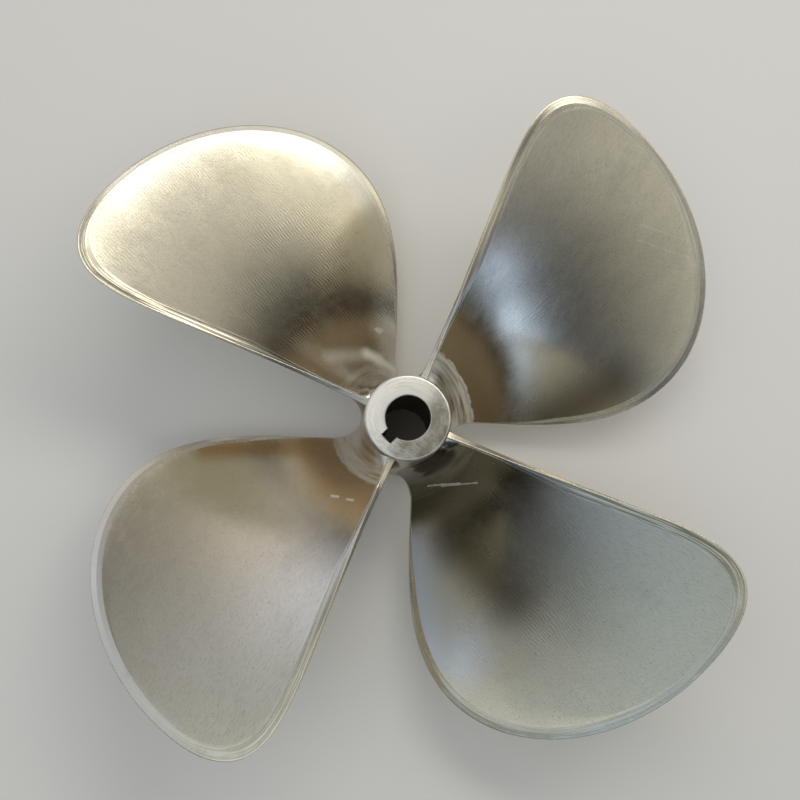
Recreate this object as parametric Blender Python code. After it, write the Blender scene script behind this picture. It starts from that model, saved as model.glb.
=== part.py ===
"""Four-bladed fixed-pitch ship propeller, cast in one piece in bronze.

The propeller stands on the forward face of its hub, with +Z along the shaft towards the
stern, and its origin is on the shaft axis at that face. The working side of each blade is
a helicoid that faces aft. The keyway lies on -X, in line with one blade.
"""

import math

import bmesh
import bpy

# Overall sizes, in metres
PROPELLER_DIAMETER = 0.4826
PITCH = 0.508
BLADE_COUNT = 4

# Hub, a short cone that is wider at its forward end
HUB_LENGTH = 0.1048
HUB_AFT_DIAMETER = 0.055
HUB_FORWARD_DIAMETER = 0.062
HUB_AFT_ROUND = 0.002
HUB_FORWARD_ROUND = 0.002

# Tapered bore for a shaft of 1 3/8 inches, and its keyway
BORE_AFT_DIAMETER = 0.0284
BORE_TAPER = 1 / 16
KEYWAY_WIDTH = 0.0079
KEYWAY_DEPTH = 0.0049

# Blade outline, as angles about the shaft in degrees on both sides of the tip
TIP_ANGLE = 5.8
LEADING_SECTOR = 50.0
LEADING_ROOT_NARROWING = 0.32
LEADING_ROOT_POWER = 5
LEADING_TIP_POWER = 4
LEADING_TIP_ROUNDING = 1 / 2
TRAILING_SECTOR = 18.4
TRAILING_ROOT_NARROWING = 0.19
TRAILING_ROOT_POWER = 2
TRAILING_TIP_POWER = 10
TRAILING_TIP_ROUNDING = 1 / 3

# Where the blade sits on the hub and how it leans aft
BLADE_SETBACK = 0.004
RAKE_SLOPE = 0.181
RAKE_BOW = 0.0117

# Blade section: flat working side, rounded back, bevelled edges
BLADE_ROOT_THICKNESS = 0.0145
BLADE_TIP_THICKNESS = 0.0026
EDGE_ROOT_THICKNESS = 0.0038
EDGE_TIP_THICKNESS = 0.0024
EDGE_BEVEL_WIDTH = 0.0068
EDGE_BEVEL_DEPTH = 0.0010
BEVEL_START_RADIUS = 0.055
BEVEL_FULL_RADIUS = 0.110
BEVEL_ROOT_SHARE = 0.15
SECTION_FULLNESS = 1.8
TIP_BAND_SHARE = 0.2

# Fillet between blade and hub
ROOT_FILLET = 0.021
LEADING_FLARE = 0.45
TRAILING_FLARE = 0.07
BACK_TRAILING_FLARE = 0.02
TRAILING_STRETCH = 0.02
LEADING_FADE = 5
TRAILING_FADE = 9
BACK_TRAILING_FADE = 1.3
STRETCH_FADE = 9
BLADE_SINK = 0.004
FLANK_FADE = 1.5

# Fineness of the mesh
FILLET_ROWS = 5
BLADE_ROWS = 17
CHORD_COLUMNS = 15
HUB_SEGMENTS = 72
ROUND_SEGMENTS = 5

CUTTER_OVERRUN = 0.004
MERGE_DISTANCE = 0.00001
SHARP_ANGLE = 35.0
BRONZE_COLOUR = (0.52, 0.43, 0.25, 1.0)
BRONZE_ROUGHNESS = 0.32

TIP_RADIUS = PROPELLER_DIAMETER / 2
HUB_MEAN_RADIUS = (HUB_AFT_DIAMETER + HUB_FORWARD_DIAMETER) / 4


def clear_scene():
    """Remove every object, so that the script can be run again in an open file."""
    for obj in list(bpy.data.objects):
        bpy.data.objects.remove(obj, do_unlink=True)


def bronze_material():
    """Return the cast bronze of the whole propeller."""
    material = bpy.data.materials.new("bronze")
    material.use_nodes = True
    shader = material.node_tree.nodes["Principled BSDF"]
    shader.inputs["Base Color"].default_value = BRONZE_COLOUR
    shader.inputs["Metallic"].default_value = 1.0
    shader.inputs["Roughness"].default_value = BRONZE_ROUGHNESS
    return material


def hub_radius(height):
    """Return the radius of the hub's flank at a height above its forward face."""
    share = height / HUB_LENGTH
    return (HUB_FORWARD_DIAMETER * (1 - share) + HUB_AFT_DIAMETER * share) / 2


def leading_half(fraction):
    """Return the angle from the tip line to the leading edge, at a share of the tip radius."""
    narrowing = 1 - LEADING_ROOT_NARROWING * (1 - fraction) ** LEADING_ROOT_POWER
    rounding = max(1 - fraction ** LEADING_TIP_POWER, 0) ** LEADING_TIP_ROUNDING
    return math.radians(LEADING_SECTOR) * rounding * narrowing


def trailing_half(fraction):
    """Return the angle from the tip line to the trailing edge, at a share of the tip radius."""
    narrowing = 1 - TRAILING_ROOT_NARROWING * (1 - fraction) ** TRAILING_ROOT_POWER
    rounding = max(1 - fraction ** TRAILING_TIP_POWER, 0) ** TRAILING_TIP_ROUNDING
    return math.radians(TRAILING_SECTOR) * rounding * narrowing


def helix_slope(radius):
    """Return the angle between the blade's section and the level plane at a radius."""
    return math.atan2(PITCH, math.tau * radius)


def face_rise(radius, angle):
    """Return how far the helicoid rises from the blade's zero line, without the datum."""
    lean = RAKE_SLOPE * radius - RAKE_BOW * (radius / TIP_RADIUS) ** 2
    return lean + PITCH * angle / math.tau


def face_datum():
    """Return the height of the helicoid's zero line, which sets the blade on the hub."""
    root_angle = math.radians(TIP_ANGLE) + trailing_half(HUB_MEAN_RADIUS / TIP_RADIUS)
    return HUB_LENGTH - BLADE_SETBACK - face_rise(HUB_MEAN_RADIUS, root_angle)


def edge_thickness(fraction):
    """Return the thickness of the blade's edge at a share of the tip radius."""
    return EDGE_ROOT_THICKNESS + (EDGE_TIP_THICKNESS - EDGE_ROOT_THICKNESS) * fraction


def section_thickness(fraction, share):
    """Return the blade's thickness at a share of the radius and of the chord."""
    middle = BLADE_ROOT_THICKNESS + (BLADE_TIP_THICKNESS - BLADE_ROOT_THICKNESS) * fraction
    edge = edge_thickness(fraction)
    return edge + (middle - edge) * (1 - abs(2 * share - 1) ** SECTION_FULLNESS)


def flare_share(share, back):
    """Return how much of the root fillet's flare a place along the chord takes."""
    least, fade = TRAILING_FLARE, TRAILING_FADE
    if back:
        least, fade = BACK_TRAILING_FLARE, BACK_TRAILING_FADE
    at_leading = (1 - LEADING_FLARE) * (1 - share) ** LEADING_FADE
    at_trailing = (1 - least) * share ** fade
    return 1 - at_leading - at_trailing


def blade_rows():
    """Return the rows of the blade as pairs of distance from the hub and fillet flare."""
    rows = [(-BLADE_SINK, ROOT_FILLET)]
    for step in range(FILLET_ROWS + 1):
        turn = math.pi / 2 * step / FILLET_ROWS
        rows.append((ROOT_FILLET * (1 - math.cos(turn)), ROOT_FILLET * (1 - math.sin(turn))))
    reach = TIP_RADIUS - HUB_MEAN_RADIUS
    for step in range(1, BLADE_ROWS + 1):
        share = math.sin(math.pi / 2 * step / BLADE_ROWS)
        rows.append((ROOT_FILLET + (reach - ROOT_FILLET) * share, 0.0))
    return rows


def bevel_share(radius):
    """Return how much of the full edge bevel the blade has at a radius."""
    share = (radius - BEVEL_START_RADIUS) / (BEVEL_FULL_RADIUS - BEVEL_START_RADIUS)
    return min(max(share, BEVEL_ROOT_SHARE), 1.0)


def outline_angles(fraction, radius, outer):
    """Return the angles of the leading and the trailing edge at a radius.

    These are the angles of the outline itself, or with outer false those of the bevel's
    inner line.
    """
    leading, trailing = leading_half(fraction), trailing_half(fraction)
    if not outer:
        bevel = EDGE_BEVEL_WIDTH * bevel_share(radius) * math.cos(helix_slope(radius)) / radius
        leading = max(leading - bevel, leading * (1 - TIP_BAND_SHARE))
        trailing = max(trailing - bevel, trailing * (1 - TIP_BAND_SHARE))
    tip = math.radians(TIP_ANGLE)
    return tip - leading, tip + trailing


def section_lift(fraction, radius, flare, share, back, outer):
    """Return how far a point of the section lies aft of the helicoid, square to it."""
    lift = flare * flare_share(share, back)
    if back:
        return -section_thickness(fraction, share) - lift
    if outer:
        lift -= EDGE_BEVEL_DEPTH * bevel_share(radius)
    return lift


def section_stretch(flare, share):
    """Return how far the root fillet moves a point along the chord, towards the trailing edge."""
    at_leading = LEADING_FLARE * (1 - share) ** STRETCH_FADE
    at_trailing = TRAILING_STRETCH * share ** STRETCH_FADE
    return flare * (at_trailing - at_leading)


def blade_point(distance, flare, share, back, outer):
    """Return one point of a blade.

    distance is counted outwards from the hub, flare is the fillet's reach there, and share
    runs from the leading edge at 0 to the trailing edge at 1. back picks the rounded side,
    and outer the outline itself instead of the bevel's inner line.
    """
    reach = TIP_RADIUS - HUB_MEAN_RADIUS
    inset = 0.0 if outer else EDGE_BEVEL_WIDTH * max(distance, 0.0) / reach
    radius = HUB_MEAN_RADIUS + distance - inset
    fraction = min((HUB_MEAN_RADIUS + distance) / TIP_RADIUS, 1.0)
    slope = helix_slope(radius)
    leading_angle, trailing_angle = outline_angles(fraction, radius, outer)
    angle = leading_angle + (trailing_angle - leading_angle) * share
    height = face_datum() + face_rise(radius, angle)
    settle = min(max(1 - (distance - ROOT_FILLET) / (FLANK_FADE * ROOT_FILLET), 0.0), 1.0)
    radius += (hub_radius(height) - HUB_MEAN_RADIUS) * settle
    lift = section_lift(fraction, radius, flare, share, back, outer)
    stretch = section_stretch(flare, share)
    turn = angle + (stretch * math.cos(slope) - lift * math.sin(slope)) / radius
    height += stretch * math.sin(slope) + lift * math.cos(slope)
    return (radius * math.cos(turn), radius * math.sin(turn), height)


def blade_ring(distance, flare):
    """Return the closed ring of points round the blade at one distance from the hub."""
    ring = [blade_point(distance, flare, 0.0, False, True)]
    shares = [(1 - math.cos(math.pi * step / CHORD_COLUMNS)) / 2 for step in range(CHORD_COLUMNS + 1)]
    ring += [blade_point(distance, flare, share, False, False) for share in shares]
    ring.append(blade_point(distance, flare, 1.0, False, True))
    ring.append(blade_point(distance, flare, 1.0, True, True))
    ring += [blade_point(distance, flare, share, True, False) for share in reversed(shares)]
    ring.append(blade_point(distance, flare, 0.0, True, True))
    return ring


def new_object(name, mesh_builder):
    """Return a new object whose mesh is the closed shape in a bmesh, facing outwards."""
    bmesh.ops.remove_doubles(mesh_builder, verts=mesh_builder.verts, dist=MERGE_DISTANCE)
    bmesh.ops.recalc_face_normals(mesh_builder, faces=mesh_builder.faces)
    mesh = bpy.data.meshes.new(name)
    mesh_builder.to_mesh(mesh)
    mesh_builder.free()
    obj = bpy.data.objects.new(name, mesh)
    bpy.context.scene.collection.objects.link(obj)
    return obj


def bridge(mesh_builder, rings, closed_end=True):
    """Join rings of equally many points with quads, and close the first and the last one.

    closed_end is false where the last ring folds flat by itself, as at a blade's tip.
    """
    loops = [[mesh_builder.verts.new(point) for point in ring] for ring in rings]
    count = len(loops[0])
    for lower, upper in zip(loops, loops[1:]):
        for index in range(count):
            after = (index + 1) % count
            mesh_builder.faces.new((lower[index], lower[after], upper[after], upper[index]))
    mesh_builder.faces.new(reversed(loops[0]))
    if closed_end:
        mesh_builder.faces.new(loops[-1])


def make_blade(number):
    """Return one blade with its root flaring into the hub, turned to its place."""
    builder = bmesh.new()
    rings = [blade_ring(distance, flare) for distance, flare in blade_rows()]
    bridge(builder, rings, closed_end=False)
    blade = new_object(f"blade_{number + 1}", builder)
    blade.rotation_euler.z = math.tau * number / BLADE_COUNT
    return blade


def turned_ring(radius, height, segments):
    """Return a level ring of points about the shaft axis."""
    return [
        (radius * math.cos(math.tau * step / segments), radius * math.sin(math.tau * step / segments), height)
        for step in range(segments)
    ]


def make_hub():
    """Return the turned hub, with its two rims rounded and both end faces flat."""
    profile = []
    for step in range(ROUND_SEGMENTS + 1):
        turn = math.pi / 2 * step / ROUND_SEGMENTS
        height = HUB_FORWARD_ROUND * (1 - math.cos(turn))
        profile.append((hub_radius(height) - HUB_FORWARD_ROUND * (1 - math.sin(turn)), height))
    for step in range(ROUND_SEGMENTS + 1):
        turn = math.pi / 2 * step / ROUND_SEGMENTS
        height = HUB_LENGTH - HUB_AFT_ROUND * (1 - math.sin(turn))
        profile.append((hub_radius(height) - HUB_AFT_ROUND * (1 - math.cos(turn)), height))
    builder = bmesh.new()
    bridge(builder, [turned_ring(radius, height, HUB_SEGMENTS) for radius, height in profile])
    return new_object("propeller", builder)


def bore_radius(height):
    """Return the bore's radius at a height above the hub's forward face."""
    return BORE_AFT_DIAMETER / 2 + (HUB_LENGTH - height) * BORE_TAPER / 2


def make_bore_cutter():
    """Return the tapered plug that cuts the bore."""
    builder = bmesh.new()
    rings = [
        turned_ring(bore_radius(height), height, HUB_SEGMENTS)
        for height in (-CUTTER_OVERRUN, HUB_LENGTH + CUTTER_OVERRUN)
    ]
    bridge(builder, rings)
    return new_object("bore_cutter", builder)


def make_keyway_cutter():
    """Return the wedge that cuts the keyway, its floor parallel to the bore's taper."""
    builder = bmesh.new()
    half = KEYWAY_WIDTH / 2
    rings = []
    for height in (-CUTTER_OVERRUN, HUB_LENGTH + CUTTER_OVERRUN):
        floor = -(bore_radius(height) + KEYWAY_DEPTH)
        rings.append([(floor, -half, height), (0, -half, height), (0, half, height), (floor, half, height)])
    bridge(builder, rings)
    return new_object("keyway_cutter", builder)


def combine(target, other, operation):
    """Add or cut another closed shape with a Boolean modifier, and hide that shape."""
    other.hide_render = True
    other.display_type = "WIRE"
    modifier = target.modifiers.new(f"{operation.lower()} {other.name}", "BOOLEAN")
    modifier.solver = "EXACT"
    modifier.operation = operation
    modifier.object = other


def main():
    """Build the propeller."""
    clear_scene()
    propeller = make_hub()
    for number in range(BLADE_COUNT):
        combine(propeller, make_blade(number), "UNION")
    combine(propeller, make_bore_cutter(), "DIFFERENCE")
    combine(propeller, make_keyway_cutter(), "DIFFERENCE")
    propeller.data.materials.append(bronze_material())
    propeller.data.shade_smooth()
    propeller.data.set_sharp_from_angle(angle=math.radians(SHARP_ANGLE))


if __name__ == "__main__":
    main()
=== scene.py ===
"""Looks of a four-bladed bronze ship propeller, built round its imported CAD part.

The frame is the part's own: metres, +Z along the shaft towards the stern, and the origin on
the shaft axis at the hub's forward face, on which the propeller stands. The blades follow one
rule, a helicoid with an outline, a rake and a section, so Geometry Nodes make them.
"""

import logging
import math
from dataclasses import dataclass, fields
from enum import Enum, IntEnum
from functools import cached_property, partial

import bmesh
import bpy
from mathutils import Matrix, Vector

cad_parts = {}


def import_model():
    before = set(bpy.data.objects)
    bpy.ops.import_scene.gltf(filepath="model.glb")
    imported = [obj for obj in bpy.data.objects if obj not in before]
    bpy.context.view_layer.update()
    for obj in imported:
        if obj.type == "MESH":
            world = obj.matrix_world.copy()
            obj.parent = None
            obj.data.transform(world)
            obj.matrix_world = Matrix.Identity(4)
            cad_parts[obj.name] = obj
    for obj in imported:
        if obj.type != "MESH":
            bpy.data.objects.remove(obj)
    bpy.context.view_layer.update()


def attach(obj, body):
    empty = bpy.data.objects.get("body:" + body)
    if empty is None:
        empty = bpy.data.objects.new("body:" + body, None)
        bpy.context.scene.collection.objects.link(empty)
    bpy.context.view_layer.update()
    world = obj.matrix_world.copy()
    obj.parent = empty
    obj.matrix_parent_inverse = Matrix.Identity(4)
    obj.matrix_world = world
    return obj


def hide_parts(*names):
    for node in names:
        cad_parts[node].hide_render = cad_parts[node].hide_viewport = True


LOG = logging.getLogger("propeller")
Colour = tuple[float, float, float]
ByBlade = tuple[float, float, float, float]
Ring = list[tuple[float, float, float]]


class Coordinates(Enum):
    """Where a finish takes its pattern from."""

    OBJECT = "object"
    BLADE = "blade"


class Zone(IntEnum):
    """The zones of a blade's skin, each one with its own finish."""

    FACE = 0
    INNER_BEVEL = 1
    OUTER_BEVEL = 2
    NOSE = 3
    END = 4
    BACK = 5


class Term:
    """A number in a node tree. Arithmetic on it adds Math nodes to the tree."""

    def __init__(self, graph: "Graph", socket: bpy.types.NodeSocket) -> None:
        """Keep the output socket that carries the number, and its tree."""
        self.graph = graph
        self.socket = socket

    def __add__(self, other: "Number") -> "Term":
        """Return the sum."""
        return self.graph.math("ADD", self, other)

    __radd__ = __add__

    def __sub__(self, other: "Number") -> "Term":
        """Return the difference."""
        return self.graph.math("SUBTRACT", self, other)

    def __rsub__(self, other: "Number") -> "Term":
        """Return the difference from another number."""
        return self.graph.math("SUBTRACT", other, self)

    def __mul__(self, other: "Number") -> "Term":
        """Return the product."""
        return self.graph.math("MULTIPLY", self, other)

    __rmul__ = __mul__

    def __truediv__(self, other: "Number") -> "Term":
        """Return the quotient."""
        return self.graph.math("DIVIDE", self, other)

    def __rtruediv__(self, other: "Number") -> "Term":
        """Return another number divided by this one."""
        return self.graph.math("DIVIDE", other, self)

    def __pow__(self, power: "Number") -> "Term":
        """Return the power."""
        return self.graph.math("POWER", self, power)

    def __neg__(self) -> "Term":
        """Return the number with its sign turned."""
        return self.graph.math("MULTIPLY", self, -1.0)

    def abs(self) -> "Term":
        """Return the size of the number."""
        return self.graph.math("ABSOLUTE", self)

    def root(self) -> "Term":
        """Return the square root."""
        return self.graph.math("SQRT", self)

    def sin(self) -> "Term":
        """Return the sine."""
        return self.graph.math("SINE", self)

    def cos(self) -> "Term":
        """Return the cosine."""
        return self.graph.math("COSINE", self)

    def fraction(self) -> "Term":
        """Return what is left above the whole number."""
        return self.graph.math("FRACT", self)

    def least(self, other: "Number") -> "Term":
        """Return the smaller of two numbers."""
        return self.graph.math("MINIMUM", self, other)

    def most(self, other: "Number") -> "Term":
        """Return the larger of two numbers."""
        return self.graph.math("MAXIMUM", self, other)

    def hypot(self, other: "Number") -> "Term":
        """Return the length of the diagonal over two sides."""
        return (self * self + other * other).root()

    def equals(self, whole: int) -> "Term":
        """Return 1 where the number is a given whole number and 0 where it is another."""
        return (1.0 - (self - float(whole)).abs()).clamp()

    def clamp(self) -> "Term":
        """Return the number kept between 0 and 1."""
        return self.most(0.0).least(1.0)

    def ramp(self, low: "Number", high: "Number") -> "Term":
        """Return a smooth step from 0 at low to 1 at high."""
        share = ((self - low) / (high - low)).clamp()
        return share * share * (3.0 - 2.0 * share)


Number = float | Term


class Graph:
    """A node tree that is being built, for shaders and for geometry alike."""

    def __init__(self, tree: bpy.types.NodeTree) -> None:
        """Keep the tree to add nodes to."""
        self.tree = tree

    def node(self, kind: str, **settings: object) -> bpy.types.Node:
        """Add a node.

        Args:
            kind: The node's type name.
            settings: Properties of the node, by name.

        Returns:
            The new node.
        """
        node = self.tree.nodes.new(kind)
        for name, value in settings.items():
            setattr(node, name, value)
        return node

    def feed(self, socket: bpy.types.NodeSocket, value: object) -> None:
        """Join a socket to a term or an output, or set it to a plain value.

        Args:
            socket: The input socket.
            value: A Term, an output socket, or a value for the input itself.
        """
        if isinstance(value, Term):
            self.tree.links.new(value.socket, socket)
        elif isinstance(value, bpy.types.NodeSocket):
            self.tree.links.new(value, socket)
        else:
            socket.default_value = value

    def wire(self, node: bpy.types.Node, **values: object) -> bpy.types.Node:
        """Feed a node's inputs by their names, in which _ stands for a space.

        Args:
            node: The node.
            values: What goes into each named input.

        Returns:
            The same node.
        """
        for name, value in values.items():
            self.feed(node.inputs[name.replace("_", " ")], value)
        return node

    def math(self, operation: str, *values: Number) -> Term:
        """Add a Math node and return its result.

        Args:
            operation: The Math node's operation.
            values: Its inputs, in order.

        Returns:
            The result as a term.
        """
        node = self.node("ShaderNodeMath", operation=operation)
        for socket, value in zip(node.inputs, values):
            self.feed(socket, value)
        return Term(self, node.outputs[0])

    def vector(self, x: Number, y: Number, z: Number) -> bpy.types.NodeSocket:
        """Return a vector output made of three numbers."""
        node = self.node("ShaderNodeCombineXYZ")
        return self.wire(node, X=x, Y=y, Z=z).outputs[0]

    def parts(self, vector: bpy.types.NodeSocket) -> tuple[Term, Term, Term]:
        """Return the three numbers of a vector output."""
        node = self.wire(self.node("ShaderNodeSeparateXYZ"), Vector=vector)
        return tuple(Term(self, output) for output in node.outputs)

    def blend(self, first: object, second: object, share: Number) -> bpy.types.NodeSocket:
        """Return a mix of two colours.

        Args:
            first: The colour at share 0, as a socket or as red, green and blue.
            second: The colour at share 1, in the same way.
            share: The share of the second colour.

        Returns:
            The mixed colour.
        """
        node = self.node("ShaderNodeMix", data_type="RGBA")
        self.feed(node.inputs[0], share)
        for socket, colour in ((node.inputs[6], first), (node.inputs[7], second)):
            self.feed(socket, (*colour, 1.0) if isinstance(colour, tuple) else colour)
        return node.outputs[2]


@dataclass
class Blades:
    """The four blades with their fillets, made by one Geometry Nodes tree.

    The lengths are metres, the sectors degrees. A blade's face is a helicoid. Its rows run
    from the hub outwards, first up the fillet and then along the blade, and its zones lie
    beside each other across the chord. The root's trailing edge lies a setback forward of
    the hub's aft end. The rake lifts a blade aft by a slope and lowers it by a bow. A flare
    is the share of the fillet that is left at an edge, and a sink hides the first row in the
    hub. The sizes are the tree's named inputs. The fineness of the grids and the powers in
    the formulas come after them, as plain numbers.
    """

    hub_length: float = 0.1048
    hub_aft_radius: float = 0.0275
    hub_forward_radius: float = 0.031
    hub_aft_round: float = 0.002
    tip_radius: float = 0.2413
    pitch: float = 0.508
    tip_angle: float = 5.8
    leading_sector: float = 50.0
    leading_root_narrowing: float = 0.32
    trailing_sector: float = 18.4
    trailing_root_narrowing: float = 0.19
    setback: float = 0.004
    rake_slope: float = 0.181
    rake_bow: float = 0.0117
    root_thickness: float = 0.0145
    tip_thickness: float = 0.0026
    edge_root_thickness: float = 0.0038
    edge_tip_thickness: float = 0.0024
    section_fullness: float = 1.8
    bevel_width: float = 0.0068
    bevel_depth: float = 0.0010
    bevel_start_radius: float = 0.055
    bevel_full_radius: float = 0.110
    bevel_root_share: float = 0.15
    end_round: float = 0.00035
    root_fillet: float = 0.021
    fillet_sink: float = 0.00006
    groove_depth: float = 0.00022
    groove_count: float = 4.0
    leading_flare: float = 0.45
    trailing_flare: float = 0.07
    back_trailing_flare: float = 0.02
    trailing_stretch: float = 0.02
    flank_fade: float = 1.5
    blade_count: int = 4

    rows = 132
    fillet_share = 0.26
    face_columns = 84
    back_columns = 44
    band_columns = 4
    nose_columns = 9
    outline_powers = {"leading": (5.0, 4.0, 0.5), "trailing": (2.0, 10.0, 1 / 3)}
    sink_fade = 4.0
    last_groove_end = 0.9999
    leading_fade = 5.0
    face_fade = 9.0
    back_fade = 1.3
    stretch_fade = 9.0
    carried = ("share", "nose", "band", "through")
    tip_band_share = 0.2
    facet_split = 0.5
    facet_drop = 0.3
    square_nose = 8.0
    round_nose = 2.0
    tip_round_start = 0.9
    merge_distance = 0.00001

    def build(self, finishes: dict[Zone, bpy.types.Material]) -> bpy.types.Object:
        """Build the blades as one plain mesh.

        Args:
            finishes: The material of each zone of the skin.

        Returns:
            The finished piece, at the origin.
        """
        tree = bpy.data.node_groups.new("blades", "GeometryNodeTree")
        carrier = bpy.data.objects.new("blade_carrier", bpy.data.meshes.new("blade_carrier"))
        bpy.context.scene.collection.objects.link(carrier)
        self._lay_tree(tree, finishes)
        modifier = carrier.modifiers.new("blades", "NODES")
        modifier.node_group = tree
        self._set_inputs(modifier, tree)
        depsgraph = bpy.context.evaluated_depsgraph_get()
        mesh = bpy.data.meshes.new_from_object(carrier.evaluated_get(depsgraph))
        bpy.data.objects.remove(carrier, do_unlink=True)
        mesh.name = "blades"
        self._finish_mesh(mesh)
        piece = bpy.data.objects.new("blades", mesh)
        bpy.context.scene.collection.objects.link(piece)
        return piece

    def _set_inputs(self, modifier: bpy.types.NodesModifier, tree: bpy.types.NodeTree) -> None:
        """Set every named input of the modifier by its socket's identifier.

        Args:
            modifier: The Geometry Nodes modifier.
            tree: Its tree, whose interface has one input for each size.
        """
        values = {self._title(item.name): getattr(self, item.name) for item in fields(self)}
        for item in tree.interface.items_tree:
            if item.in_out == "INPUT" and item.name in values:
                modifier[item.identifier] = values[item.name]

    @staticmethod
    def _title(name: str) -> str:
        """Return a field's name as the tree's interface shows it."""
        return name.replace("_", " ").title()

    def _lay_tree(self, tree: bpy.types.NodeTree, finishes: dict[Zone, bpy.types.Material]) -> None:
        """Lay out the whole tree: one blade of six zones, set four times about the shaft.

        Args:
            tree: The empty tree.
            finishes: The material of each zone.
        """
        graph = Graph(tree)
        for item in fields(self):
            kind = "NodeSocketInt" if item.type in (int, "int") else "NodeSocketFloat"
            tree.interface.new_socket(self._title(item.name), in_out="INPUT", socket_type=kind)
        tree.interface.new_socket("Geometry", in_out="OUTPUT", socket_type="NodeSocketGeometry")
        source = graph.node("NodeGroupInput")
        sizes = {
            item.name: Term(graph, source.outputs[self._title(item.name)]) for item in fields(self)
        }
        rule = BladeRule(graph, sizes, self)
        joined = graph.node("GeometryNodeJoinGeometry")
        for grid in rule.zones():
            tree.links.new(grid, joined.inputs[0])
        skin = rule.store(joined.outputs[0], "edge_distance", "FLOAT", rule.edge_distance())
        skin = rule.store(skin, "root_distance", "FLOAT", rule.distance)
        moved = graph.node("GeometryNodeSetPosition")
        graph.wire(moved, Geometry=skin, Position=rule.place())
        merged = graph.node("GeometryNodeMergeByDistance")
        graph.wire(merged, Geometry=moved.outputs[0], Distance=self.merge_distance)
        placed = rule.store(merged.outputs[0], "blade_place", "FLOAT_VECTOR", rule.position())
        self._repeat(graph, placed, sizes, finishes)

    def _repeat(
        self,
        graph: Graph,
        blade: bpy.types.NodeSocket,
        sizes: dict[str, Term],
        finishes: dict[Zone, bpy.types.Material],
    ) -> None:
        """Set the blade on every place about the shaft and give each zone its material.

        Args:
            graph: The tree.
            blade: The geometry of one blade.
            sizes: The named inputs.
            finishes: The material of each zone.
        """
        places = graph.wire(graph.node("GeometryNodePoints"), Count=sizes["blade_count"])
        number = Term(graph, graph.node("GeometryNodeInputIndex").outputs[0])
        angles = graph.vector(0.0, 0.0, number * math.tau / sizes["blade_count"])
        turn = graph.wire(graph.node("FunctionNodeEulerToRotation"), Euler=angles)
        copies = graph.node("GeometryNodeInstanceOnPoints")
        graph.wire(copies, Points=places.outputs[0], Instance=blade, Rotation=turn.outputs[0])
        numbered = graph.node("GeometryNodeStoreNamedAttribute", data_type="FLOAT", domain="INSTANCE")
        graph.wire(numbered, Geometry=copies.outputs[0], Name="blade_number", Value=number)
        real = graph.wire(graph.node("GeometryNodeRealizeInstances"), Geometry=numbered.outputs[0])
        geometry = real.outputs[0]
        zone = graph.wire(graph.node("GeometryNodeInputNamedAttribute", data_type="INT"), Name="zone")
        for place, material in finishes.items():
            chosen = graph.node("FunctionNodeCompare", data_type="INT", operation="EQUAL")
            graph.feed(chosen.inputs[2], zone.outputs[0])
            graph.feed(chosen.inputs[3], int(place))
            dressed = graph.node("GeometryNodeSetMaterial")
            graph.wire(dressed, Geometry=geometry, Selection=chosen.outputs[0], Material=material)
            geometry = dressed.outputs[0]
        graph.feed(graph.node("NodeGroupOutput").inputs[0], geometry)

    def _finish_mesh(self, mesh: bpy.types.Mesh) -> None:
        """Close the roots and the tips, turn the faces outwards and mark the zone borders.

        The roots end inside the hub. At a tip the rows leave only a tiny opening.

        Args:
            mesh: The mesh that the tree made.
        """
        work = bmesh.new()
        work.from_mesh(mesh)
        zone = work.faces.layers.int.get("zone")
        open_edges = [edge for edge in work.edges if edge.is_boundary]
        for ring in self._loops(open_edges):
            centre = sum((vert.co for vert in ring), Vector()) / len(ring)
            middle = work.verts.new(centre)
            for first, second in zip(ring, ring[1:] + ring[:1]):
                cap = work.faces.new((first, second, middle))
                cap[zone] = int(Zone.BACK)
                cap.material_index = int(Zone.BACK)
        bmesh.ops.recalc_face_normals(work, faces=work.faces)
        for face in work.faces:
            face.smooth = True
        for edge in work.edges:
            sides = {face[zone] for face in edge.link_faces}
            edge.smooth = len(sides) < 2 or sides == {int(Zone.NOSE), int(Zone.BACK)}
        work.to_mesh(mesh)
        work.free()

    @staticmethod
    def _loops(edges: list[bmesh.types.BMEdge]) -> list[list[bmesh.types.BMVert]]:
        """Return the closed loops of vertices that some open edges form.

        Args:
            edges: The edges with one face only.

        Returns:
            One list of vertices, in order, for each loop.
        """
        # A dict keeps their order, so that each run gives the same mesh.
        left = dict.fromkeys(edges)
        loops = []
        while left:
            edge, _ = left.popitem()
            start, here = edge.verts
            loop = [start, here]
            while True:
                nexts = [item for item in here.link_edges if item in left]
                if not nexts:
                    break
                del left[nexts[0]]
                here = nexts[0].other_vert(here)
                if here is start:
                    break
                loop.append(here)
            loops.append(loop)
        return loops


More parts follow.
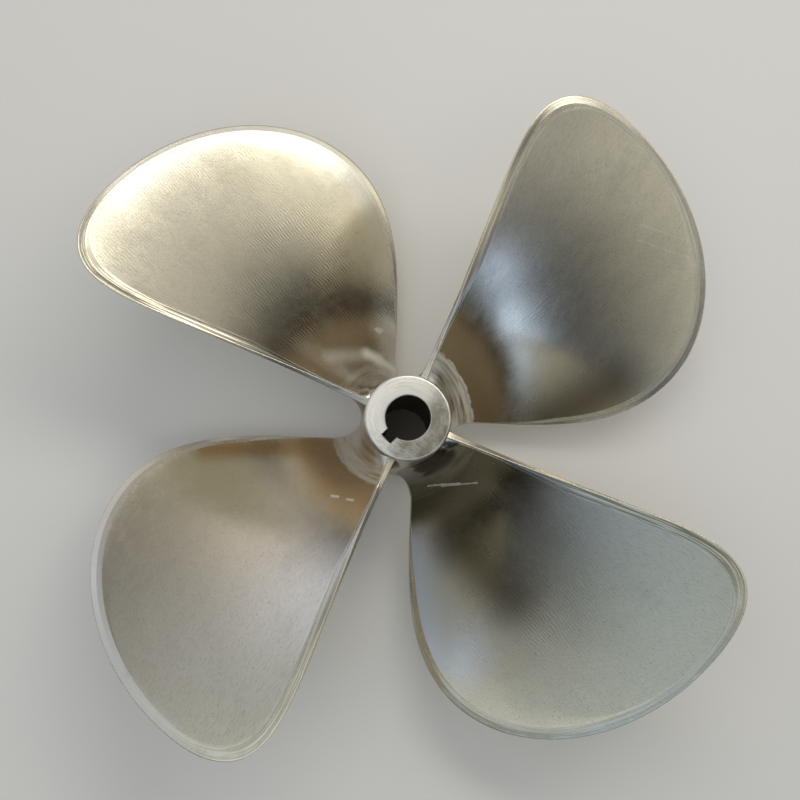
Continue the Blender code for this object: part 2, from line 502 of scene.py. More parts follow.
class BladeRule:
    """The rule of a blade's shape, laid out as nodes.

    Every zone is a grid. Its points carry their share of the chord, their place on the nose
    and on the bevel, and how far they are through the blade from its face to its back. One
    formula then moves them all.
    """

    def __init__(self, graph: Graph, sizes: dict[str, Term], blades: Blades) -> None:
        """Lay the terms that every zone shares.

        Args:
            graph: The tree.
            sizes: The tree's named inputs.
            blades: The fineness and the plain numbers of the blades.
        """
        self.graph = graph
        self.sizes = sizes
        self.blades = blades
        across, along, _ = graph.parts(self.position())
        self.across = across + 0.5
        self.along = along + 0.5
        self.mean_radius = (sizes["hub_aft_radius"] + sizes["hub_forward_radius"]) * 0.5
        self.reach = sizes["tip_radius"] - self.mean_radius
        self._lay_rows()
        root = self.mean_radius / sizes["tip_radius"]
        angle = sizes["tip_angle"] * math.radians(1) + self._half(root, "trailing")
        self.datum = sizes["hub_length"] - sizes["setback"] - self.face_rise(self.mean_radius, angle)
        self.drop = sizes["bevel_depth"] * self.bevel_share()
        thin, thick = sizes["edge_tip_thickness"], sizes["edge_root_thickness"]
        self.edge = self._between(thick, thin, self.fraction)
        self.leading_nose = (self.edge - self.drop) * 0.5
        self.near_tip = self.fraction.ramp(blades.tip_round_start, 1.0)
        self.trailing_nose = self._between(sizes["end_round"], self.leading_nose, self.near_tip)

    def position(self) -> bpy.types.NodeSocket:
        """Return the position field."""
        return self.graph.node("GeometryNodeInputPosition").outputs[0]

    def store(
        self, geometry: bpy.types.NodeSocket, name: str, kind: str, value: object, domain: str = "POINT"
    ) -> bpy.types.NodeSocket:
        """Return a geometry with one more named attribute, set to a value or field."""
        node = self.graph.node("GeometryNodeStoreNamedAttribute", data_type=kind, domain=domain)
        return self.graph.wire(node, Geometry=geometry, Name=name, Value=value).outputs[0]

    def _kept(self, name: str) -> Term:
        """Return a number that the points carry."""
        node = self.graph.node("GeometryNodeInputNamedAttribute", data_type="FLOAT")
        return Term(self.graph, self.graph.wire(node, Name=name).outputs[0])

    @staticmethod
    def _between(first: Number, second: Number, share: Term) -> Term:
        """Return the number a share of the way from the first to the second."""
        return first + (second - first) * share

    def _lay_rows(self) -> None:
        """Lay the distance from the hub and the fillet's flare of every row.

        The fillet is a quarter circle with shallow grooves, each one a parabola.
        """
        sizes, blades = self.sizes, self.blades
        climb = (self.along / blades.fillet_share).clamp()
        beyond = ((self.along - blades.fillet_share) / (1.0 - blades.fillet_share)).clamp()
        turn = climb * (math.pi / 2)
        groove = (climb * sizes["groove_count"] * blades.last_groove_end).fraction()
        radius = sizes["root_fillet"] + sizes["groove_depth"] * 4.0 * groove * (1.0 - groove)
        sink = sizes["fillet_sink"] * (1.0 - climb) ** blades.sink_fade
        out = (beyond * (math.pi / 2)).sin()
        fillet = sizes["root_fillet"]
        self.distance = fillet - radius * turn.cos() - sink + (self.reach - fillet) * out
        self.flare = fillet - radius * turn.sin()
        self.fraction = ((self.mean_radius + self.distance) / sizes["tip_radius"]).least(1.0)

    def _half(self, fraction: Term, side: str) -> Term:
        """Return the angle from the tip line to an edge, in radians.

        Args:
            fraction: The share of the tip radius.
            side: "leading" or "trailing".

        Returns:
            The angle.
        """
        root_power, tip_power, rounding = self.blades.outline_powers[side]
        narrowing = 1.0 - self.sizes[f"{side}_root_narrowing"] * (1.0 - fraction) ** root_power
        round_off = (1.0 - fraction ** tip_power).most(0.0) ** rounding
        return self.sizes[f"{side}_sector"] * math.radians(1) * narrowing * round_off

    def face_rise(self, radius: Term, angle: Term) -> Term:
        """Return the height of the helicoid above its zero line.

        Args:
            radius: The distance from the shaft axis.
            angle: The angle about it.

        Returns:
            The height in metres.
        """
        bow = radius / self.sizes["tip_radius"]
        lean = self.sizes["rake_slope"] * radius - self.sizes["rake_bow"] * bow * bow
        return lean + self.sizes["pitch"] * angle / math.tau

    def bevel_share(self) -> Term:
        """Return how much of the full edge bevel the blade has.

        Returns:
            The share, which grows from the root outwards.
        """
        start, full = self.sizes["bevel_start_radius"], self.sizes["bevel_full_radius"]
        share = (self.mean_radius + self.distance - start) / (full - start)
        return share.most(self.sizes["bevel_root_share"]).least(1.0)

    def hub_surface(self, height: Term) -> Term:
        """Return the hub's radius at a height, with the aft rim's round.

        Args:
            height: The height above the hub's forward face.

        Returns:
            The radius in metres.
        """
        sizes = self.sizes
        share = height / sizes["hub_length"]
        rim = sizes["hub_aft_round"]
        over = (height - sizes["hub_length"] + rim).most(0.0)
        flank = self._between(sizes["hub_forward_radius"], sizes["hub_aft_radius"], share)
        return flank - rim + (rim * rim - over * over).most(0.0).root()

    def _flare_share(self, share: Term, back: bool) -> Term:
        """Return how much of the fillet's flare a place along the chord takes.

        Args:
            share: The share of the chord.
            back: Whether the place lies on the blade's back.

        Returns:
            The share of the flare.
        """
        least = self.sizes["back_trailing_flare" if back else "trailing_flare"]
        fade = self.blades.back_fade if back else self.blades.face_fade
        at_leading = (1.0 - self.sizes["leading_flare"]) * (1.0 - share) ** self.blades.leading_fade
        return 1.0 - at_leading - (1.0 - least) * share ** fade

    def _raised(self, share: Term, band: Term, through: Term) -> Term:
        """Return how far a point lies aft of the helicoid, square to it.

        Args:
            share: The share of the chord.
            band: 0 beside the nose and 1 on the bevel's inner line.
            through: 0 on the face and 1 on the back.

        Returns:
            The lift in metres.
        """
        split, drop = self.blades.facet_split, self.blades.facet_drop
        inner = (1.0 - band).least(1.0 - split) * (drop / (1.0 - split))
        outer = (split - band).most(0.0) * ((1.0 - drop) / split)
        face = self.flare * self._flare_share(share, False) - self.drop * (inner + outer)
        thin, thick = self.sizes["tip_thickness"], self.sizes["root_thickness"]
        middle = self._between(thick, thin, self.fraction)
        crown = 1.0 - (2.0 * share - 1.0).abs() ** self.sizes["section_fullness"]
        thickness = self.edge + (middle - self.edge) * crown
        back = -self.flare * self._flare_share(share, True) - thickness
        return self._between(face, back, through)

    def place(self) -> bpy.types.NodeSocket:
        """Return the place of every point, by the numbers that it carries.

        Returns:
            The place as a vector output.
        """
        sizes = self.sizes
        share, nose, band, through = (self._kept(name) for name in self.blades.carried)
        nose_width = self._between(self.leading_nose, self.trailing_nose, share)
        band_width = sizes["bevel_width"] - nose_width
        radial = nose_width * nose + band_width * band
        radius = self.mean_radius + self.distance - radial * (self.distance / self.reach).most(0.0)
        lead = sizes["pitch"] / math.tau
        length = lead.hypot(radius)
        cosine, sine = radius / length, lead / length
        chordwise = (nose_width * nose + band_width * band * self.bevel_share()) * cosine / radius
        floor = 1.0 - self.blades.tip_band_share * radial / sizes["bevel_width"]
        leading, trailing = (self._half(self.fraction, side) for side in self.blades.outline_powers)
        leading = (leading - chordwise).most(leading * floor)
        trailing = (trailing - chordwise).most(trailing * floor)
        angle = sizes["tip_angle"] * math.radians(1) - leading + (leading + trailing) * share
        height = self.datum + self.face_rise(radius, angle)
        fillet = sizes["root_fillet"]
        settle = (1.0 - (self.distance - fillet) / (sizes["flank_fade"] * fillet)).clamp()
        settled = radius + (self.hub_surface(height) - self.mean_radius) * settle
        raised = self._raised(share, band, through)
        fade = self.blades.stretch_fade
        stretch = sizes["trailing_stretch"] * share ** fade
        stretch = (stretch - sizes["leading_flare"] * (1.0 - share) ** fade) * self.flare
        turn = angle + (stretch * cosine - raised * sine) / settled
        height = height + stretch * sine + raised * cosine
        final = radius + (self.hub_surface(height) - self.mean_radius) * settle
        return self.graph.vector(final * turn.cos(), final * turn.sin(), height)

    def _grid(self, zone: Zone, columns: int, carried: tuple[Number, ...]) -> bpy.types.NodeSocket:
        """Return one zone as a flat grid whose points carry their numbers.

        Args:
            zone: Which zone it is.
            columns: How many faces it has across.
            carried: The share of the chord, nose, band and way through, in that order.

        Returns:
            The geometry of the zone.
        """
        grid = self.graph.wire(
            self.graph.node("GeometryNodeMeshGrid"),
            Size_X=1.0,
            Size_Y=1.0,
            Vertices_X=columns + 1,
            Vertices_Y=self.blades.rows + 1,
        )
        geometry = self.store(grid.outputs[0], "zone", "INT", int(zone), "FACE")
        for name, value in zip(self.blades.carried, carried):
            geometry = self.store(geometry, name, "FLOAT", value)
        return geometry

    def zones(self) -> list[bpy.types.NodeSocket]:
        """Return the flat grids of all zones. The points crowd towards the edges.

        Returns:
            The geometries of the zones.
        """
        blades, across = self.blades, self.across
        turn = across * math.pi
        eased = (1.0 - turn.cos()) * 0.25 + across * 0.5
        through = (1.0 - turn.cos()) * 0.5
        power = self._between(blades.square_nose, blades.round_nose, self.near_tip)
        square = (1.0 - turn.cos().abs() ** power).most(0.0) ** (1.0 / power)
        inner = 1.0 - across * (1.0 - blades.facet_split)
        outer = (1.0 - across) * blades.facet_split
        grids = [
            self._grid(Zone.FACE, blades.face_columns, (eased, 1.0, 1.0, 0.0)),
            self._grid(Zone.BACK, blades.back_columns, (eased, 1.0, 0.0, 1.0)),
            self._grid(Zone.NOSE, blades.nose_columns, (0.0, 1.0 - turn.sin(), 0.0, through)),
            self._grid(Zone.END, blades.nose_columns, (1.0, 1.0 - square, 0.0, through)),
        ]
        for share in (0.0, 1.0):
            for zone, band in ((Zone.INNER_BEVEL, inner), (Zone.OUTER_BEVEL, outer)):
                grids.append(self._grid(zone, blades.band_columns, (share, 1.0, band, 0.0)))
        return grids

    def edge_distance(self) -> Term:
        """Return roughly how far a point lies from the blade's outline.

        Returns:
            The distance in metres.
        """
        share, _, band, _ = (self._kept(name) for name in self.blades.carried)
        chord = self._half(self.fraction, "leading") + self._half(self.fraction, "trailing")
        chord = chord * (self.mean_radius + self.distance)
        inside = (share.least(1.0 - share) * chord).least(self.reach - self.distance)
        return inside + band * self.sizes["bevel_width"]


@dataclass
class Hub:
    """The turned hub with its rounded rims, tapered bore and keyway.

    The lengths are metres. The hub is one skin of rings, which go up the flank, over the aft
    end, down the bore and over the forward end. Every ring has the columns of the bore.
    """

    length: float = 0.1048
    aft_radius: float = 0.0275
    forward_radius: float = 0.031
    aft_round: float = 0.002
    forward_round: float = 0.002
    crown: float = 0.0005
    bore_aft_radius: float = 0.0142
    bore_taper: float = 1 / 16
    keyway_width: float = 0.0079
    keyway_depth: float = 0.0049
    mouth_chamfer: float = 0.0005
    floor_columns: int = 6
    wall_columns: int = 6
    bore_columns: int = 228
    round_rows: int = 10
    flank_rows: int = 30
    bore_rows: int = 24
    end_rows: int = 8
    merge_distance: float = 0.000001
    sharp_angle: float = 30.0

    def build(self, finishes: dict[str, bpy.types.Material]) -> bpy.types.Object:
        """Build the hub as one closed skin.

        Args:
            finishes: The materials by the names "end", "flank" and "bore".

        Returns:
            The finished piece, at the origin.
        """
        rings = self._flank_rings() + self._end_rings()
        flank_count = len(rings)
        rings += self._bore_rings()
        bore_count = len(rings)
        rings += self._forward_rings()
        work = bmesh.new()
        loops = [[work.verts.new(point) for point in ring] for ring in rings]
        names = list(finishes)
        for row, (lower, upper) in enumerate(zip(loops, loops[1:] + loops[:1])):
            number = names.index(self._zone(row, flank_count, bore_count))
            for corners in zip(lower, lower[1:] + lower[:1], upper[1:] + upper[:1], upper):
                face = work.faces.new(corners)
                face.material_index = number
                face.smooth = True
        bmesh.ops.remove_doubles(work, verts=work.verts, dist=self.merge_distance)
        bmesh.ops.recalc_face_normals(work, faces=work.faces)
        mesh = bpy.data.meshes.new("hub")
        work.to_mesh(mesh)
        work.free()
        for material in finishes.values():
            mesh.materials.append(material)
        mesh.set_sharp_from_angle(angle=math.radians(self.sharp_angle))
        piece = bpy.data.objects.new("hub", mesh)
        bpy.context.scene.collection.objects.link(piece)
        return piece

    def _zone(self, row: int, flank_count: int, bore_count: int) -> str:
        """Return the finish of the faces above a ring.

        Args:
            row: The ring's number.
            flank_count: How many rings the outside has.
            bore_count: How many rings the outside and the bore have.

        Returns:
            The finish's name.
        """
        outside = self.round_rows + self.flank_rows
        if row < outside:
            return "flank"
        if row < flank_count:
            return "end"
        return "bore" if row < bore_count - 1 else "flank"

    def _bore_radius(self, height: float) -> float:
        """Return the bore's radius at a height."""
        return self.bore_aft_radius + (self.length - height) * self.bore_taper / 2

    def _inner_loop(self, height: float, spread: float) -> list[tuple[float, float]]:
        """Return the bore's section with its keyway, from the keyway's middle onwards.

        Args:
            height: The height of the section.
            spread: How far it is opened all round.

        Returns:
            The points of the loop in the level plane.
        """
        radius = self._bore_radius(height) + spread
        half = self.keyway_width / 2 + spread
        floor = radius + self.keyway_depth
        corner = math.asin(half / radius)
        mouth = radius * math.cos(corner)
        side = [(-floor, -half * step / self.floor_columns) for step in range(self.floor_columns)]
        for step in range(self.wall_columns):
            share = step / self.wall_columns
            side.append((-(floor + (mouth - floor) * share), -half))
        sweep = math.tau - 2 * corner
        loop = list(side)
        for step in range(self.bore_columns + 1):
            angle = math.pi + corner + sweep * step / self.bore_columns
            loop.append((radius * math.cos(angle), radius * math.sin(angle)))
        return loop + [(x, -y) for x, y in reversed(side[1:])]

    def _angles(self) -> list[float]:
        """Return the angle of every column about the shaft axis."""
        return [math.atan2(y, x) for x, y in self._inner_loop(self.length, 0.0)]

    def _ring(self, height: float, inset: float) -> Ring:
        """Return a round ring with the bore's columns, an inset inside the flank."""
        radius = self._flank_radius(height) - inset
        return [(radius * math.cos(angle), radius * math.sin(angle), height) for angle in self._angles()]

    def _flank_radius(self, height: float) -> float:
        """Return the radius of the hub's flank at a height."""
        share = height / self.length
        return self.forward_radius * (1 - share) + self.aft_radius * share

    def _flank_rings(self) -> list[Ring]:
        """Return the rings of the forward round, the flank and the aft round.

        Returns:
            The rings from the forward end upwards.
        """
        turns = [math.pi / 2 * step / self.round_rows for step in range(self.round_rows + 1)]
        forward, aft = self.forward_round, self.aft_round
        rings = []
        for turn in turns:
            rings.append(self._ring(forward * (1 - math.cos(turn)), forward * (1 - math.sin(turn))))
        top = self.length - aft
        for step in range(1, self.flank_rows):
            rings.append(self._ring(forward + (top - forward) * step / self.flank_rows, 0.0))
        for turn in turns:
            height = top + (aft - self.crown) * math.sin(turn)
            rings.append(self._ring(height, aft * (1 - math.cos(turn))))
        return rings

    def _between(self, outer: float, opened: Ring, share: float, height: float) -> Ring:
        """Return a ring between a round one and the bore's section.

        Args:
            outer: The radius of the round ring.
            opened: The bore's section.
            share: How near to that section the ring lies.
            height: Its height.

        Returns:
            The ring.
        """
        ring = []
        for angle, (x, y) in zip(self._angles(), opened):
            place = Vector((outer * math.cos(angle), outer * math.sin(angle))).lerp(Vector((x, y)), share)
            ring.append((place.x, place.y, height))
        return ring

    def _end_rings(self) -> list[Ring]:
        """Return the rings of the slightly crowned aft end.

        Returns:
            The rings from the rim inwards.
        """
        outer = self._flank_radius(self.length) - self.aft_round
        opened = self._inner_loop(self.length, self.mouth_chamfer)
        rings = []
        for step in range(1, self.end_rows + 1):
            share = step / self.end_rows
            height = self.length - self.crown * (1 - share) ** 2
            rings.append(self._between(outer, opened, share, height))
        return rings

    def _bore_rings(self) -> list[Ring]:
        """Return the rings of the bore and the keyway.

        Returns:
            The rings from the aft end to the forward end.
        """
        top = self.length - self.mouth_chamfer
        rings = []
        for step in range(self.bore_rows + 1):
            height = top + (self.mouth_chamfer - top) * step / self.bore_rows
            rings.append([(x, y, height) for x, y in self._inner_loop(height, 0.0)])
        rings.append([(x, y, 0.0) for x, y in self._inner_loop(0.0, self.mouth_chamfer)])
        return rings

    def _forward_rings(self) -> list[Ring]:
        """Return the ring of the flat forward end, halfway between the bore and the rim."""
        outer = self._flank_radius(0.0) - self.forward_round
        return [self._between(outer, self._inner_loop(0.0, self.mouth_chamfer), 0.5, 0.0)]


@dataclass(frozen=True)
class Grain:
    """A noise.

    Attributes:
        size: The size of its largest patches in metres.
        detail: How many finer layers it has.
        roughness: How strong those are.
    """

    size: float
    detail: float = 1.0
    roughness: float = 0.5


@dataclass(frozen=True)
class Mark:
    """A straight scrape, or a patch of painted highlight, reflection or shade, on one blade's face.
    Lengths are metres.

    Attributes:
        blade: The blade's number.
        start: Its start on the blade, as seen along the shaft.
        end: Its other end.
        width: Its width.
        strength: How strong it is, from 0 to 1.
        crispness: 0 for a soft patch and nearly 1 for a hard, ragged outline.
        colour: The colour there: of the metal for a scrape, of the painted light or shade for a patch.
        roughening: How much rougher the metal is there.
    """

    blade: int
    start: tuple[float, float]
    end: tuple[float, float]
    width: float
    strength: float = 0.8
    crispness: float = 0.5
    colour: Colour = (0.92, 0.89, 0.80)
    roughening: float = 0.25

    outline_share = 0.6
    fraying = 3.0

    def share(self, spot: tuple[Term, Term, Term], number: Term, ragged: Term) -> Term:
        """Return how much of the mark is at each place.

        Args:
            spot: The place on the blade.
            number: The number of the blade.
            ragged: A noise that frays the outline.

        Returns:
            A share between 0 and the mark's strength.
        """
        along, across = self.end[0] - self.start[0], self.end[1] - self.start[1]
        x, y = spot[0] - self.start[0], spot[1] - self.start[1]
        share = ((x * along + y * across) / (along * along + across * across)).clamp()
        distance = (x - share * along).hypot(y - share * across)
        frayed = distance + (ragged - 0.5) * self.width * self.fraying * self.crispness
        outline = self.width * self.outline_share
        inside = 1.0 - frayed.ramp(outline * self.crispness, outline)
        return inside * number.equals(self.blade) * self.strength


@dataclass(frozen=True)
class BronzeFinish:
    """Bare bronze, worked in one of several ways. Lengths are metres, angles degrees.

    Attributes:
        name: The material's name.
        coordinates: Where the pattern comes from.
        colour: The metal's own reflection.
        stain: The colour of its dull places, and of the painted shade on one side of a hub end.
        stain_share: How much of the surface is dull.
        grime: The colour of the dirt in pits and scratches, and of the darkest painted shade.
        bright: The colour of freshly ground metal, and of the painted highlights.
        root_shade_colour: The brown of the painted shade near the roots, standing for dark reflections.
        tarnish: The most painted shade near the roots that there is, from 0 to 1.
        root_shade_reach: How far from the hub it reaches on each blade.
        root_shade_fade: Over how long it fades out on each blade.
        blade_root_shade_darkness: How much darker the painted shade is on each blade.
        blade_flanks: How free of it each blade's leading rim is.
        fillet_reach: How far from the hub the fillet is ground bright and has a painted highlight.
        blade_fillets_and_highlights: How strong each blade's fillet grinding and painted highlight are.
        roughness: The roughness of clean metal.
        roughness_spread: How much the roughness varies.
        brushing: How much the roughness varies in long strokes of the grinder.
        scratch_spacing: The distance between fine grinding scratches.
        scratch_depth: Their depth.
        scratch_angle: Their direction.
        scratch_tone: How dark they are.
        scratch_side: The direction from the axis in which they are darkest, or none.
        ripple_spacing: The distance between the mill's ripples.
        ripple_depth: The depth of the ripples.
        ripple_angle: Their direction.
        pass_width: The width of one pass of the mill, across the ripples' length.
        ripple_centre: Where on a blade they are strongest, as seen along the shaft.
        blade_ripples: How strong they are on each blade.
        dent_size: The size of the shallow hollows left by the grinder.
        dent_depth: The depth of those hollows.
        edge_lines: The depth of the lines that follow a blade's edge.
        edge_line_spacing: The distance between those lines.
        edge_stripes: How bright their crests are worn.
        blade_lines: How strong those lines are on each blade.
        rim_curl: How far the leading rim curls up.
        rim_reach: How wide the curled rim is.
        rim_polish_and_highlight: How bright the leading rim is, partly polish and partly painted
            highlight.
        blade_rim_highlights: How wide that bright rim is on each blade.
        blade_curls: How much of that curl each blade has.
        bevel_ease: How much less steep than it is a bevel looks.
        blade_eases: How much of that ease each blade has.
        worn_lines: The distances from a blade's edge at which a corner is worn bright.
        bright_corner_width: The width of those bright corner lines.
        worn_rings: The radii at which a round corner has a painted highlight.
        turned_lines: The depth of the lines that run round the shaft axis.
        turned_line_spacing: The distance between those lines.
        turned_tone: How dark the turned lines are.
        dim_side: The direction from the axis of the side painted darker as shade, or none.
        marks: Single scrapes, and patches of painted highlight, reflection and shade.
    """

    name: str
    coordinates: Coordinates = Coordinates.BLADE
    colour: Colour = (0.63, 0.58, 0.44)
    stain: Colour = (0.52, 0.49, 0.39)
    stain_share: float = 0.25
    grime: Colour = (0.08, 0.07, 0.04)
    bright: Colour = (0.74, 0.71, 0.61)
    root_shade_colour: Colour = (0.42, 0.27, 0.13)
    tarnish: float = 0.0
    root_shade_reach: ByBlade = (0.066, 0.106, 0.070, 0.086)
    root_shade_fade: ByBlade = (0.024, 0.060, 0.040, 0.045)
    blade_root_shade_darkness: ByBlade = (0.62, 0.62, 0.0, 0.96)
    blade_flanks: ByBlade = (0.0, 0.5, 0.0, 1.0)
    fillet_reach: float = 0.0
    blade_fillets_and_highlights: ByBlade = (1.0, 0.20, 0.70, 0.06)
    roughness: float = 0.34
    roughness_spread: float = 0.08
    brushing: float = 0.08
    scratch_spacing: float = 0.0005
    scratch_depth: float = 0.000006
    scratch_angle: float = 20.0
    scratch_tone: float = 0.15
    scratch_side: float | None = None
    ripple_spacing: float = 0.0020
    ripple_depth: float = 0.0
    ripple_angle: float = -2.0
    pass_width: float = 0.0075
    ripple_centre: tuple[float, float] = (0.118, -0.025)
    blade_ripples: ByBlade = (0.35, 1.0, 0.25, 0.75)
    dent_size: float = 0.035
    dent_depth: float = 0.0003
    edge_lines: float = 0.0
    edge_line_spacing: float = 0.0009
    edge_stripes: float = 0.0
    blade_lines: ByBlade = (0.35, 1.0, 0.35, 0.8)
    rim_curl: float = 0.0
    rim_reach: float = 0.040
    rim_polish_and_highlight: float = 0.85
    blade_rim_highlights: ByBlade = (0.0001, 0.030, 0.012, 0.0001)
    blade_curls: ByBlade = (0.2, 0.7, 0.3, 0.5)
    bevel_ease: float = 0.0
    blade_eases: ByBlade = (1.0, 1.0, 0.0, 1.0)
    worn_lines: tuple[float, ...] = ()
    bright_corner_width: float = 0.0005
    worn_rings: tuple[float, ...] = ()
    turned_lines: float = 0.0
    turned_line_spacing: float = 0.0008
    turned_tone: float = 0.0
    dim_side: float | None = None
    marks: tuple[Mark, ...] = ()

    def material(self) -> bpy.types.Material:
        """Build the material.

        Returns:
            The new material.
        """
        material = bpy.data.materials.new(self.name)
        material.use_nodes = True
        material.node_tree.nodes.clear()
        FinishTree(self, Graph(material.node_tree)).lay()
        return material


class FinishTree:
    """The node tree of one finish: layers of colour and roughness, and a relief. Some colour
    layers are painted shade, painted reflections and painted highlights.

    Each layer covers those before it. A pair of numbers is the low and the high end of a
    soft border, in metres or as a noise's own value, where nothing else is said.
    """

    blotches = Grain(0.045, 3.0)
    clouds = Grain(0.009, 3.0, 0.6)
    dull_mix = (0.55, 0.45)
    dull_border = (0.60, 0.74)
    dull_widening = 0.4
    dulling = 0.6
    strokes = Grain(0.003, 2.0, 0.6)
    stroke_length = 14.0
    # The painted shade near the roots: how its outline frays, and where it stays off the leading rim.
    root_shade_fraying = (0.03, 0.008)
    unshaded_rim = (0.010, 0.036)
    unshaded_rim_fraying = 0.012
    unshaded_start = (0.030, 0.060)
    # The painted shade on one side of the hub's end.
    shade_border = (0.0005, 0.0100)
    dimming = 0.72
    shade_clouding = 1.6
    fine_length = 30.0
    fine_border = (0.50, 0.66)
    fine_side = (0.004, 0.018)
    fine_everywhere = 0.15
    ring_border = (0.50, 0.70)
    groove_border = (0.46, 0.64)
    groove_tone = 0.8
    stripe_border = (0.50, 0.62)
    stripe_turn = (0.15, 0.30)
    grit = Grain(0.0013, 2.0, 0.6)
    pit_border = (0.66, 0.74)
    pit_tone = 0.45
    pit_roughening = 0.2
    scrapes = Grain(0.0009, 1.0, 0.4)
    scrape_turn = 25.0
    scrape_length = 45.0
    scrape_border = (0.72, 0.80)
    scrape_tone = 0.5
    corner_tone = 0.9
    corner_core = 0.3
    rim_fraying = 0.010
    rim_core = 0.2
    fillet_streaks = Grain(0.0025, 2.0)
    streak_border = (0.22, 0.60)
    fillet_fraying = 0.004
    fillet_border = 0.93
    fillet_roughening = 0.25
    fillet_lines = Grain(0.0012, 2.0, 0.6)
    fillet_line_border = 0.9
    fillet_line_depth = 0.00014
    wobble = Grain(0.012)
    wobble_depth = 0.004
    ripple_patches = Grain(0.04, 1.0, 0.4)
    ripple_patch_border = (0.30, 0.60)
    ripple_range = (0.025, 0.075)
    ripple_fading = 0.8
    hash_numbers = (12.9898, 43758.5)
    scratch_length = 40.0
    cross_scratches = ((0.0, 1.0), (68.0, 0.7))
    edge_line_change = 0.03
    fillet_line_change = 0.06
    turned_line_change = 0.04
    blade_shift = 0.37

    def __init__(self, plan: BronzeFinish, graph: Graph) -> None:
        """Lay the coordinates, the coarse noises and the clean metal.

        Args:
            plan: The finish.
            graph: Its empty node tree.
        """
        self.plan = plan
        self.graph = graph
        self.place = self._place()
        self.blotch = self._noise(self.place, self.blotches)
        self.cloud = self._noise(self.place, self.clouds)
        low, high = self.dull_border
        dull = self.blotch * self.dull_mix[0] + self.cloud * self.dull_mix[1]
        dull = dull.ramp(low - plan.stain_share * self.dull_widening, high)
        self.tint = graph.blend(plan.colour, plan.stain, dull * self.dulling)
        strokes = self._noise(self._stretched(plan.scratch_angle, self.stroke_length), self.strokes)
        uneven = self.blotch - 0.5 + self.cloud - 0.5
        self.roughness = plan.roughness + uneven * plan.roughness_spread + (strokes - 0.5) * plan.brushing

    def lay(self) -> None:
        """Lay the layers that the finish has and join them to the shader."""
        plan, graph = self.plan, self.graph
        # Painted shade near the roots: a brown darkening that stands for dark reflections there.
        if plan.tarnish > 0:
            self._lay_root_shade()
        # Painted shade: one side of the hub's end is darkened, as if turned away from the light.
        if plan.dim_side is not None:
            dimming = self.dimming + (self.cloud - 0.5) * self.shade_clouding
            self._cover(plan.stain, self._side(plan.dim_side, self.shade_border) * dimming)
        self._cover(plan.grime, self._fine_scratches())
        if plan.turned_tone > 0:
            rings = self._noise(self._round_axis(), Grain(plan.turned_line_spacing, 2.0, 0.6))
            self._cover(plan.grime, rings.ramp(*self.ring_border) * plan.turned_tone)
        if plan.edge_stripes > 0:
            grooves = (1.0 - self._edge_lines().ramp(*self.groove_border)) * self.groove_tone
            trailing = 1.0 - self._leading(*self.stripe_turn)
            self._cover(plan.grime, grooves * trailing * self._by_blade(plan.blade_lines))
        pits = self._noise(self.place, self.grit).ramp(*self.pit_border) * self.pit_tone
        self._cover(plan.grime, pits, self.pit_roughening)
        self._cover(plan.bright, self._bare())
        # Bright fillets: partly grinding and partly a painted highlight, of a strength given for each
        # blade.
        if plan.fillet_reach > 0:
            self._cover(plan.bright, self._fillet_grinding_and_highlight(), self.fillet_roughening)
        # Scrapes, and patches of painted highlight, painted reflection and painted shade.
        for mark in plan.marks:
            share = mark.share(self.spot, self._own("blade_number"), self.cloud)
            self._cover(mark.colour, share, mark.roughening)
        shader = graph.node("ShaderNodeBsdfPrincipled")
        graph.wire(shader, Metallic=1.0, Base_Color=self.tint, Roughness=self.roughness)
        graph.wire(shader, Normal=self._relief())
        graph.feed(graph.node("ShaderNodeOutputMaterial").inputs[0], shader.outputs[0])

    def _cover(self, colour: Colour | bpy.types.NodeSocket, share: Term, roughening: float = 0.0) -> None:
        """Cover the layers so far with one more.

        Args:
            colour: The new layer's colour.
            share: How much of the new layer is at each place.
            roughening: How much rougher the metal is under it.
        """
        self.tint = self.graph.blend(self.tint, colour, share)
        if roughening > 0:
            self.roughness = self.roughness + share * roughening

    @cached_property
    def spot(self) -> tuple[Term, Term, Term]:
        """Return the place on the first blade, of which each blade is a turned copy."""
        found = self.graph.node("ShaderNodeAttribute", attribute_name="blade_place")
        return self.graph.parts(found.outputs["Vector"])

    def _place(self) -> bpy.types.NodeSocket:
        """Return the coordinates that the pattern lies on.

        Returns:
            The object's own coordinates, or the blade's, shifted by its number.
        """
        if self.plan.coordinates is Coordinates.OBJECT:
            return self.graph.node("ShaderNodeTexCoord").outputs["Object"]
        x, y, z = self.spot
        return self.graph.vector(x, y, z + self._own("blade_number") * self.blade_shift)

    def _own(self, name: str) -> Term:
        """Return a number that the mesh carries."""
        found = self.graph.node("ShaderNodeAttribute", attribute_name=name)
        return Term(self.graph, found.outputs["Fac"])

    def _noise(self, place: bpy.types.NodeSocket, grain: Grain) -> Term:
        """Return a noise between 0 and 1.

        Args:
            place: Its coordinates.
            grain: Its size and fineness.

        Returns:
            The noise.
        """
        node = self.graph.node("ShaderNodeTexNoise")
        self.graph.wire(
            node, Vector=place, Scale=1 / grain.size, Detail=grain.detail, Roughness=grain.roughness
        )
        return Term(self.graph, node.outputs[0])

    def _stretched(self, angle: float, length: float) -> bpy.types.NodeSocket:
        """Return coordinates turned about the shaft's direction and stretched into strokes.

        Args:
            angle: The direction of the strokes in degrees.
            length: How many times longer than wide the strokes are.

        Returns:
            The new coordinates.
        """
        node = self.graph.node("ShaderNodeMapping", vector_type="TEXTURE")
        turn = (0.0, 0.0, math.radians(angle))
        self.graph.wire(node, Vector=self.place, Rotation=turn, Scale=(length, 1.0, 1.0))
        return node.outputs[0]

    def _by_blade(self, shares: ByBlade) -> Term:
        """Return the share that belongs to the blade's number."""
        number = self._own("blade_number")
        return sum(number.equals(index) * share for index, share in enumerate(shares))

